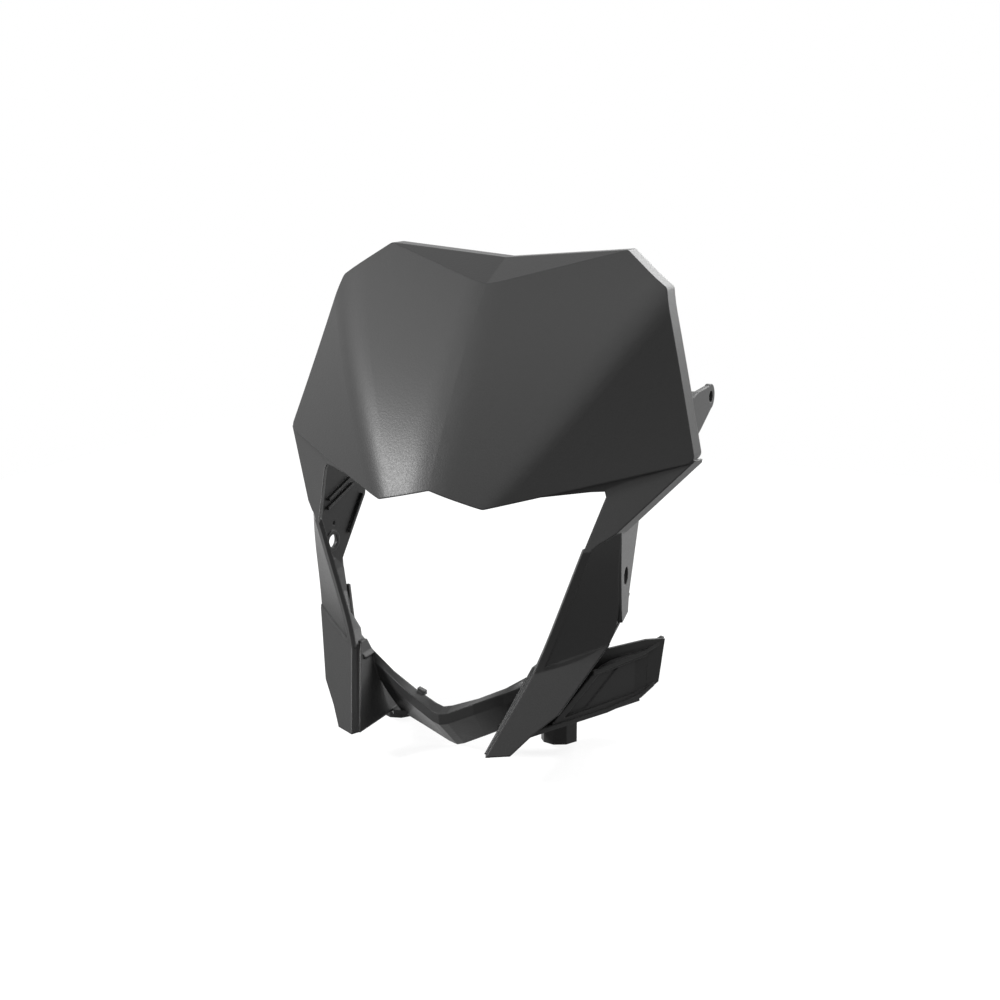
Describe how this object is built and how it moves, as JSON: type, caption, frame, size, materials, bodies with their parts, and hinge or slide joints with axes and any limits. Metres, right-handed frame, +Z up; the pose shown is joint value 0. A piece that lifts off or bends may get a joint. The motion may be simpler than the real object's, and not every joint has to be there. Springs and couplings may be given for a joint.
{
  "type": "motorcycle headlight mask",
  "caption": "Moulded black plastic headlight mask for an off-road motorcycle, with a blank number plate above the lamp opening.",
  "frame": {"origin": "middle of the axis through the two upper tab bores, on the middle plane", "axes": "+X across the bike to the right of somebody facing the front, -Y the way the front looks, +Z up"},
  "size_m": [0.26, 0.1726, 0.2864],
  "materials": {
    "mask_plastic": "satin moulded, fine metallic fleck"
  },
  "bodies": {
    "root": {"headlight_mask": "mask_plastic"}
  },
  "joints": []
}
